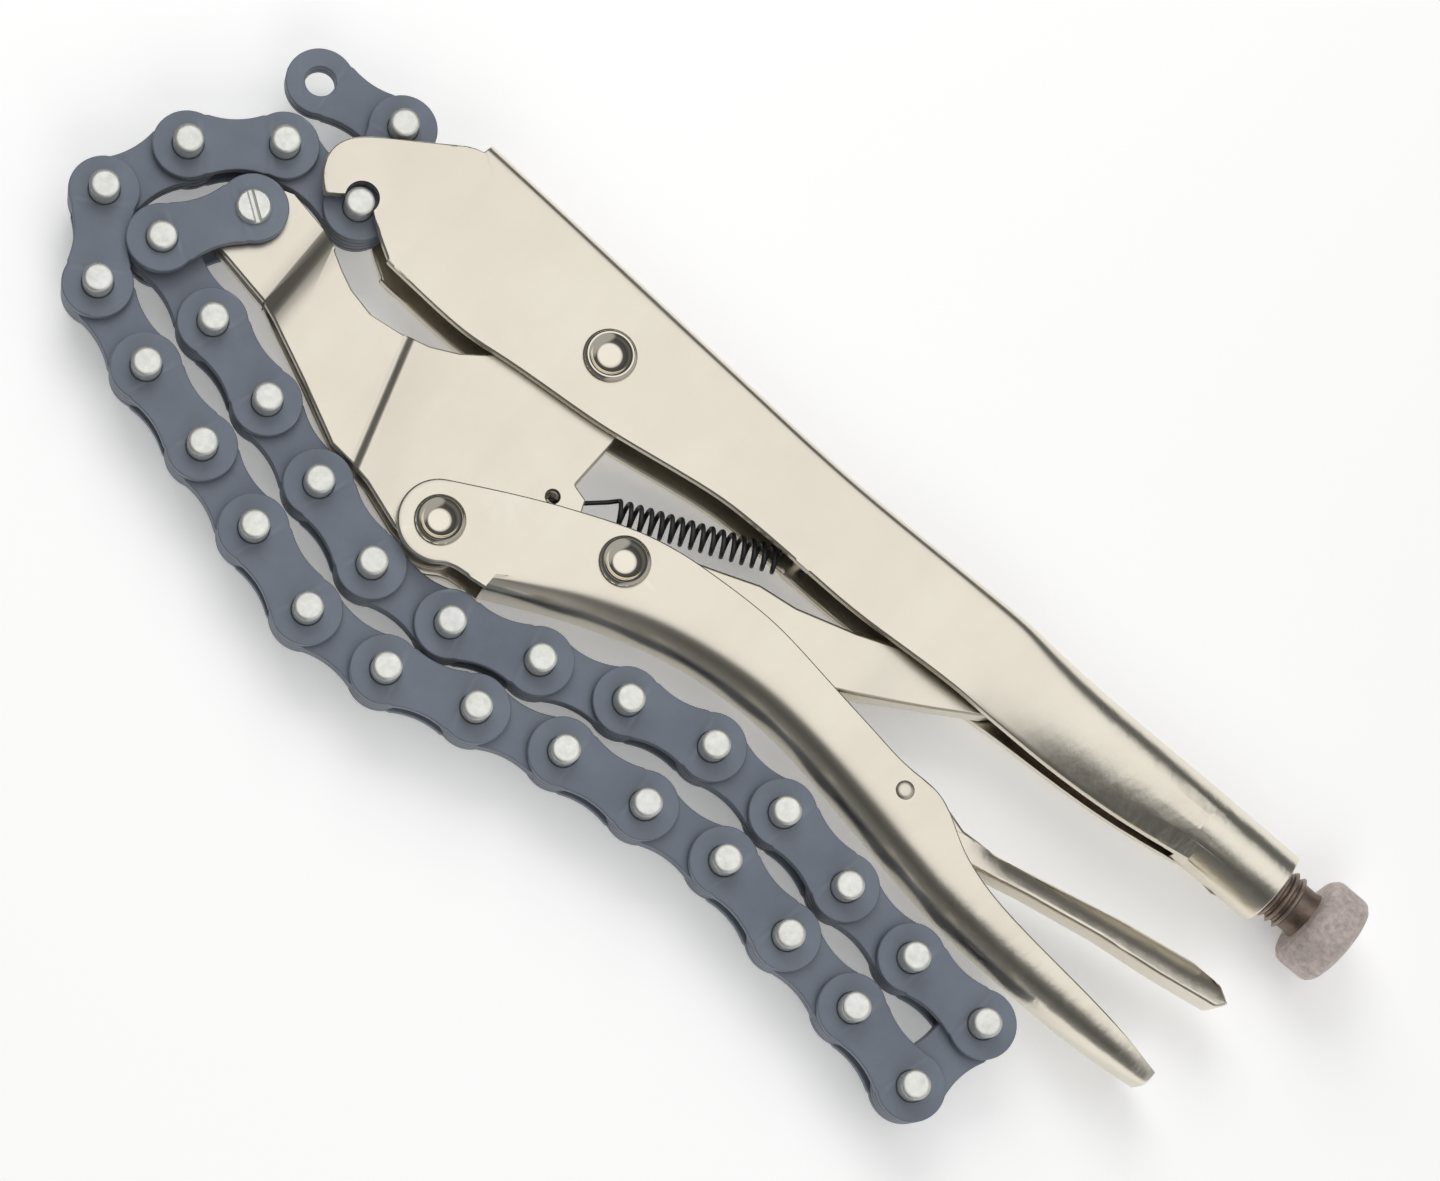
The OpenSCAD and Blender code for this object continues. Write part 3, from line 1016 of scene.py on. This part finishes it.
@dataclass
class AdjustingScrew:
    """Threaded rod with its rough round knob.

    The knob's profiles give insets from its radius and depths below its ends.
    """

    bench: Workbench
    thread_pitch: float = 1.5
    thread_r: float = 5.0
    thread_depth: float = 0.75
    thread_fill: float = 0.72
    thread_from: float = 1.6
    thread_spare: float = 3.0
    thread_steps: int = 28
    rod_point: float = 1.2
    rod_sides: int = 40
    neck_len: float = 0.9
    neck_inset: float = 0.5
    neck_sunk: float = 0.3
    knob_len: float = 7.8
    knob_r: float = 8.53
    knob_root_inset: float = 1.0
    knob_corner: Profile = ((1.6, 0.0), (0.95, 0.22), (0.22, 0.95), (0.0, 1.6))
    knob_face: Profile = ((2.4, 0.08), (8.33, 0.08))
    knob_sides: int = 72

    def build(self) -> None:
        """Makes the threaded rod and the knob on its end."""
        low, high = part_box("adjusting_screw")
        length = (high.x - low.x) / MM
        knob_at = length - self.knob_len
        axis = Vector((low.x, (low.y + high.y) / 2, (low.z + high.z) / 2))
        place = Matrix.Translation(axis) @ Matrix.Rotation(math.pi / 2, 4, "Y")
        looks = self.bench.finishes
        pieces = ((self.rod(knob_at), looks.thread), (self.knob(knob_at, length), looks.knob))
        for piece, material in pieces:
            self.bench.finish(settle(piece, place), "adjusting_screw", material, Slot.SCREW)

    def rod(self, end: float) -> Object:
        """Turns the rod and winds its thread on.

        Args:
            end: Where the knob begins along the rod.

        Returns:
            The threaded rod, standing on its axis.
        """
        root = self.thread_r - self.thread_depth
        rings = [
            (root - self.rod_point, 0), (root, self.rod_point), (root, end - self.neck_len),
            (self.thread_r - self.neck_inset, end + self.neck_sunk),
        ]
        return join("screw_thread", turned("core", rings, self.rod_sides), self.thread(end))

    def knob(self, start: float, end: float) -> Object:
        """Turns the knob with worn, rounded corners.

        Args:
            start: Where the knob begins along the rod.
            end: Where it ends.

        Returns:
            The knob, standing on its axis.
        """
        rings = [(self.thread_r - self.knob_root_inset, start)]
        rings += [(self.knob_r - inset, start + rise) for inset, rise in self.knob_corner]
        far_side = (*reversed(self.knob_corner), *self.knob_face)
        rings += [(self.knob_r - inset, end - fall) for inset, fall in far_side]
        return turned("screw_knob", rings, self.knob_sides)

    def thread(self, end: float) -> Object:
        """Winds the thread's ridge around the rod.

        Args:
            end: Where the thread stops along the rod.

        Returns:
            The ridge.
        """
        turns = int((end - self.thread_spare) / self.thread_pitch)
        root = self.thread_r - self.thread_depth
        half = self.thread_fill * self.thread_pitch / 2
        deselect()
        bpy.ops.mesh.primitive_circle_add(vertices=4, radius=half * MM)
        ridge = bpy.context.object
        place = Matrix.Translation(Vector((root, 0, self.thread_from)) * MM)
        upright = Matrix.Rotation(math.pi / 2, 4, "X")
        settle(ridge, place @ upright @ Matrix.Diagonal((self.thread_depth / half, 1, 1, 1)))
        apply_modifier(
            ridge, "SCREW", axis="Z", angle=math.tau, screw_offset=self.thread_pitch * MM, iterations=turns,
            steps=self.thread_steps, render_steps=self.thread_steps,
        )
        with edit(ridge, whole=True):
            bpy.ops.mesh.fill_holes(sides=0)
        face_outwards(ridge)
        return ridge


@dataclass
class ReturnSpring:
    """Wound spring from the jaw's eye to the lug in the upper channel.

    Places are measured from the jaw's pivot, the hook's from the eye and the lead out from the last coil.
    """

    bench: Workbench
    wire_r: float = 0.42
    coil_r: float = 2.1
    coils: int = 16
    steps: int = 20
    eye: tuple[float, float] = (7.9, -24.2)
    lug: tuple[float, float] = (46.5, -3.6)
    coil_from: Point = (17.5, -18.1, 0)
    coil_to: Point = (43.7, -6.2, 0)
    hook: tuple[Point, ...] = (
        (0, 0, 5.2), (0, 0, 4.4), (0, 0, 2.2), (0.4, 0.3, 1.3), (1.3, 0.9, 0.7), (2.7, 1.9, 0.4),
    )
    lead_in: Point = (15.4, -17.6, 0)
    lead_out: Point = (0.9, 0.5, -0.5)
    loop_r: float = 1.72
    loop_turns: tuple[float, ...] = (135, 90, 45, 0, -45)
    loop_from: float = -0.8
    loop_fall: float = 0.45
    shade: float = 60

    def route(self) -> list[Vector]:
        """Follows the wire from the jaw's eye through the coils to the lug.

        Returns:
            Points from the jaw's pivot, in millimetres.
        """
        start, stop = Vector(self.coil_from), Vector(self.coil_to)
        axis = (stop - start).normalized()
        side = Vector((0, 0, 1)).cross(axis)
        count = self.coils * self.steps
        coil = []
        for i in range(count + 1):
            turn = math.tau * i / self.steps
            across = math.cos(turn) * side + math.sin(turn) * Vector((0, 0, 1))
            coil.append(start.lerp(stop, i / count) + self.coil_r * across)
        hook = [Vector((*self.eye, 0)) + Vector(point) for point in self.hook]
        loop = []
        for i, angle in enumerate(self.loop_turns):
            turn = math.radians(angle)
            around = Vector((math.cos(turn), math.sin(turn), 0)) * self.loop_r
            loop.append(Vector((*self.lug, self.loop_from - self.loop_fall * i)) + around)
        return [*hook, Vector(self.lead_in), *coil, coil[-1] + Vector(self.lead_out), *loop]

    def build(self) -> None:
        """Winds the wire from the jaw's eye to the lug."""
        jaw = self.bench.joint("jaw_open")
        points = [jaw + q * MM for q in self.route()]
        data = bpy.data.curves.new("return_wire", "CURVE")
        data.dimensions = "3D"
        data.bevel_depth = self.wire_r * MM
        data.bevel_resolution = 2
        data.use_fill_caps = True
        spline = data.splines.new("POLY")
        spline.points.add(len(points) - 1)
        for slot, point in zip(spline.points, points):
            slot.co = (*point, 1)
        wire = bpy.data.objects.new("return_wire", data)
        bpy.context.scene.collection.objects.link(wire)
        pick(wire)
        bpy.ops.object.convert(target="MESH")
        bpy.ops.object.shade_smooth_by_angle(angle=math.radians(self.shade))
        wire.data.materials.clear()
        wire.data.materials.append(self.bench.finishes.wire)
        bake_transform(wire)
        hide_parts("return_spring")
        LOG.info("return_wire stands for return_spring")


@dataclass
class Chain:
    """Link plates and pins, each modelled once and copied along the loop.

    The profile of a pin's end gives shares of its radius and depths below its end.
    """

    bench: Workbench
    links: int = 32
    lobe_r: float = 5.85
    waist_half: float = 4.4
    waist_cut_r: float = 14.0
    plate_t: float = 1.6
    bore_r: float = 2.56
    bit_len: float = 6.4
    pin_r: float = 2.5
    plate_edge: float = 0.3
    edge_steps: int = 3
    edge_sharp: float = 55
    plate_sides: int = 56
    waist_cuts: int = 25
    round_sides: int = 32
    pin_end: Profile = ((1, 0.45), (0.97, 0.2), (0.88, 0.05), (0.7, 0), (0.05, 0))
    pins: list[Vector] = field(default_factory=list)

    def build(self) -> None:
        """Makes every link and pin of the chain."""
        self.pins = [self.bench.joint(f"chain_joint_{k:02d}") for k in range(1, self.links + 1)]
        self.pins.append(self.bench.mount("chain_end_eye"))
        plate = self.plate_blank()
        pin = self.pin_blank()
        for k in range(1, self.links + 1):
            kind = "outer" if k % 2 else "inner"
            node = f"{kind}_link_plates_{(k + 1) // 2:02d}"
            self.place_plates(plate, k, node, f"{kind}_plates_{(k + 1) // 2:02d}")
        for i in range(1, self.links // 2 + 1):
            self.place_pins(pin, i)
        for model in (plate, pin):
            bpy.data.objects.remove(model)

    def edge_at(self, x: float) -> float:
        """Gives half the plate's width at a place along it.

        Args:
            x: Distance from the first pin.

        Returns:
            Half the width.
        """
        pitch = self.pitch()
        near = min(abs(x), abs(pitch - x))
        lobe = math.sqrt(max(self.lobe_r**2 - near**2, 0))
        across = min(abs(x - pitch / 2), self.waist_cut_r)
        waist = self.waist_half + self.waist_cut_r - math.sqrt(self.waist_cut_r**2 - across**2)
        shoulder = (self.lobe_r + self.waist_half) / 2
        return max(lobe, min(waist, shoulder))

    def pitch(self) -> float:
        """Gives the distance between pins."""
        return (self.pins[1] - self.pins[0]).length / MM

    def plate_blank(self) -> Object:
        """Models one waisted plate with two bores, from pin to pin along X.

        Returns:
            The plate, lying on the ground plane.
        """
        pitch = self.pitch()
        deselect()
        bpy.ops.mesh.primitive_circle_add(
            vertices=self.plate_sides, radius=self.lobe_r * MM, fill_type="NGON",
        )
        plate = bpy.context.object
        plate.name = "plate_blank"
        settle(plate, Matrix.Rotation(math.pi / self.plate_sides, 4, "Z"))
        select_where(plate, Part.CORNER, lambda corner: corner.co.x > 0)
        with edit(plate):
            bpy.ops.transform.translate(value=(pitch * MM, 0, 0))
        along = [corner.co.x for corner in plate.data.vertices]
        long = pitch * MM / 2
        select_where(plate, Part.EDGE, lambda e: abs(along[e.vertices[0]] - along[e.vertices[1]]) > long)
        with edit(plate):
            bpy.ops.mesh.select_mode(type="EDGE")
            bpy.ops.mesh.subdivide(number_cuts=self.waist_cuts)
        for vertex in plate.data.vertices:
            if 0 < vertex.co.x < pitch * MM:
                vertex.co.y = math.copysign(self.edge_at(vertex.co.x / MM) * MM, vertex.co.y)
        with edit(plate, whole=True):
            bpy.ops.mesh.extrude_region_move(TRANSFORM_OT_translate={"value": (0, 0, self.plate_t * MM)})
        face_outwards(plate)
        for x in (0, pitch):
            self.drill(plate, x)
        soften(plate, self.plate_edge, self.edge_steps, self.edge_sharp)
        return plate

    def drill(self, plate: Object, x: float) -> None:
        """Drills one bore through the plate.

        Args:
            plate: The plate.
            x: The bore's place along it.
        """
        deselect()
        bpy.ops.mesh.primitive_cylinder_add(
            vertices=self.round_sides, radius=self.bore_r * MM, depth=self.bit_len * MM,
            location=(x * MM, 0, 0),
        )
        bit = bpy.context.object
        apply_modifier(plate, "BOOLEAN", operation="DIFFERENCE", object=bit, solver="EXACT")
        bpy.data.objects.remove(bit)

    def pin_blank(self) -> Object:
        """Turns one pin with eased, slightly crowned ends.

        Returns:
            The pin, centred at the origin.
        """
        low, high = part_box("link_pins_01")
        half = (high.z - low.z) / 2 / MM
        end = [(self.pin_r * share, half - depth) for share, depth in self.pin_end]
        return turned("pin_blank", both_ends(end), self.round_sides)

    def place_plates(self, plate: Object, k: int, node: str, name: str) -> None:
        """Sets the two plates of a link on its body.

        Args:
            plate: The model plate.
            k: The link's number from the jaw.
            node: The solid that they stand for.
            name: The new piece's name.
        """
        low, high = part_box(node)
        here, there = self.pins[k - 1], self.pins[k]
        heading = math.atan2(there.y - here.y, there.x - here.x)
        sides = []
        for z in (low.z, high.z - self.plate_t * MM):
            side = twin(plate, name)
            settle(side, Matrix.Translation((here.x, here.y, z)) @ Matrix.Rotation(heading, 4, "Z"))
            sides.append(side)
        self.bench.finish(join(name, *sides), node, self.bench.finishes.link, Slot.LINK)

    def place_pins(self, pin: Object, i: int) -> None:
        """Sets the pins of an outer link on its body.

        Args:
            pin: The model pin.
            i: The outer link's number.
        """
        node = f"link_pins_{i:02d}"
        name = f"bright_pins_{i:02d}"
        made = []
        for k in range(max(2 * i - 1, 2), 2 * i + 1):
            one = twin(pin, name)
            settle(one, Matrix.Translation(self.pins[k - 1]))
            made.append(one)
        piece = join(name, *made) if len(made) > 1 else made[0]
        self.bench.finish(piece, node, self.bench.finishes.pin, Slot.PIN)


# Setting


@dataclass
class PhotoStage:
    """Pale floor, soft light and the camera at the photograph's angle.

    The panel's profile gives the cosine of the angle to its middle and the brightness there. A lamp has a
    name, its place in the frame and its watts.
    """

    bench: Workbench
    tilt: float = 16.0
    lean: float = 5.0
    roll: float = 45.0
    distance: float = 575.7
    lens: float = 87.5
    aim: Point = (38.9, -18.7, 6.8)
    floor_size: float = 6000
    floor_colour: tuple[float, float, float, float] = (0.93, 0.93, 0.925, 1)
    floor_rough: float = 0.9
    floor_glow: float = 0.25
    panel: Profile = ((0.0, 0.15), (0.4, 0.06), (0.78, 0.10), (0.92, 1.0))
    wall_from: float = 0.3
    wall_full: float = 0.65
    wall_level: float = 0.42
    lamp_size: float = 500
    lamps: tuple[tuple[str, Point, float], ...] = (
        ("key", (-420, 380, 520), 2.4),
        ("fill", (380, -420, 520), 1.4),
    )

    def build(self) -> None:
        """Sets up the floor, the light and the camera."""
        self.floor()
        self.light()
        self.camera()
        bpy.context.scene.view_settings.view_transform = "Standard"

    def axes(self) -> tuple[Vector, Vector, Vector]:
        """Gives the photograph's right, up and towards the camera.

        Returns:
            Three unit vectors in the frame.
        """
        tilt, lean, roll = (math.radians(a) for a in (self.tilt, self.lean, self.roll))
        along = Vector((math.cos(lean), -math.sin(lean), 0))
        down = Vector((-math.sin(lean), -math.cos(lean), 0))
        back = down * math.sin(tilt) + Vector((0, 0, math.cos(tilt)))
        fall = down * math.cos(tilt) - Vector((0, 0, math.sin(tilt)))
        right = along * math.cos(roll) - fall * math.sin(roll)
        up = -(along * math.sin(roll) + fall * math.cos(roll))
        return right, up, back

    def camera(self) -> None:
        """Aims the camera from the photograph's side."""
        target = self.bench.at(*self.aim)
        right, up, back = self.axes()
        data = bpy.data.cameras.new("photo_camera")
        data.lens = self.lens
        camera = bpy.data.objects.new("photo_camera", data)
        bpy.context.scene.collection.objects.link(camera)
        turn = Matrix((right, up, back)).transposed().to_4x4()
        camera.matrix_world = Matrix.Translation(target + back * self.distance * MM) @ turn
        bpy.context.scene.camera = camera

    def floor(self) -> None:
        """Lays the pale floor under the tool."""
        deselect()
        bpy.ops.mesh.primitive_plane_add(size=self.floor_size * MM)
        floor = bpy.context.object
        floor.name = "pale_floor"
        material = bpy.data.materials.new("pale_floor")
        material.use_nodes = True
        shader = material.node_tree.nodes["Principled BSDF"]
        shader.inputs["Base Color"].default_value = self.floor_colour
        shader.inputs["Roughness"].default_value = self.floor_rough
        shader.inputs["Specular IOR Level"].default_value = 0.0
        seen = self.seen_by_eye_or_gloss(NodeSheet(material.node_tree))
        shader.inputs["Emission Color"].default_value = (1, 1, 1, 1)
        material.node_tree.links.new(seen, shader.inputs["Emission Strength"])
        floor.data.materials.append(material)

    def seen_by_eye_or_gloss(self, sheet: NodeSheet) -> Socket:
        """Gives the floor's own light, which only the camera, gloss and glass see.

        Args:
            sheet: The floor's sheet.

        Returns:
            The strength of that light.
        """
        path = sheet.add("ShaderNodeLightPath").outputs
        mirrored = sheet.math("ADD", path["Is Glossy Ray"], path["Is Transmission Ray"])
        rays = sheet.math("ADD", path["Is Camera Ray"], mirrored)
        return sheet.math("MULTIPLY", rays, self.floor_glow)

    def light(self) -> None:
        """Lights the tool from a bright panel that its flats mirror, in a dark room with one paler wall."""
        world = bpy.data.worlds.new("soft_box")
        bpy.context.scene.world = world
        world.use_nodes = True
        sheet = NodeSheet(world.node_tree)
        ground = world.node_tree.nodes["Background"]
        direction = sheet.add("ShaderNodeTexCoord").outputs["Generated"]
        back = self.axes()[2]
        mirror = (-back.x, -back.y, back.z)
        towards = sheet.add("ShaderNodeVectorMath", {"0": direction, "1": mirror}, operation="DOT_PRODUCT")
        ramp = sheet.add("ShaderNodeValToRGB", {"Fac": towards.outputs["Value"]})
        stops = ramp.color_ramp.elements
        while len(stops) < len(self.panel):
            stops.new(0.5)
        for stop, (place, value) in zip(stops, self.panel):
            stop.position = place
            stop.color = (value, value, value, 1)
        along = sheet.add("ShaderNodeSeparateXYZ", {"Vector": direction}).outputs["X"]
        wall = sheet.add("ShaderNodeMapRange", {
            "Value": along,
            "From Min": self.wall_from,
            "From Max": self.wall_full,
            "To Max": self.wall_level,
        }, interpolation_type="SMOOTHSTEP")
        level = sheet.math("MAXIMUM", ramp.outputs["Color"], wall.outputs["Result"])
        sheet.tree.links.new(level, ground.inputs["Color"])
        ground.inputs["Strength"].default_value = 1.0
        for name, place, watts in self.lamps:
            self.lamp(name, place, watts)

    def lamp(self, name: str, place: Point, watts: float) -> None:
        """Hangs one soft lamp that faces the tool.

        Args:
            name: The lamp's name.
            place: Where it hangs.
            watts: Its power.
        """
        data = bpy.data.lights.new(name, "AREA")
        data.size = self.lamp_size * MM
        data.energy = watts
        lamp = bpy.data.objects.new(name, data)
        lamp.location = Vector(place) * MM
        lamp.visible_glossy = False
        lamp.rotation_mode = "QUATERNION"
        lamp.rotation_quaternion = Vector(place).to_track_quat("Z", "Y")
        bpy.context.scene.collection.objects.link(lamp)


def main() -> None:
    """Builds the tool piece by piece."""
    logging.basicConfig(level=logging.INFO, format="%(name)s: %(message)s")
    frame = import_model()
    bench = Workbench(frame, Finishes())
    PhotoStage(bench).build()
    PressedBody(bench).build()
    Rivets(bench).build()
    AdjustingScrew(bench).build()
    ReturnSpring(bench).build()
    Chain(bench).build()


if __name__ == "__main__":
    main()
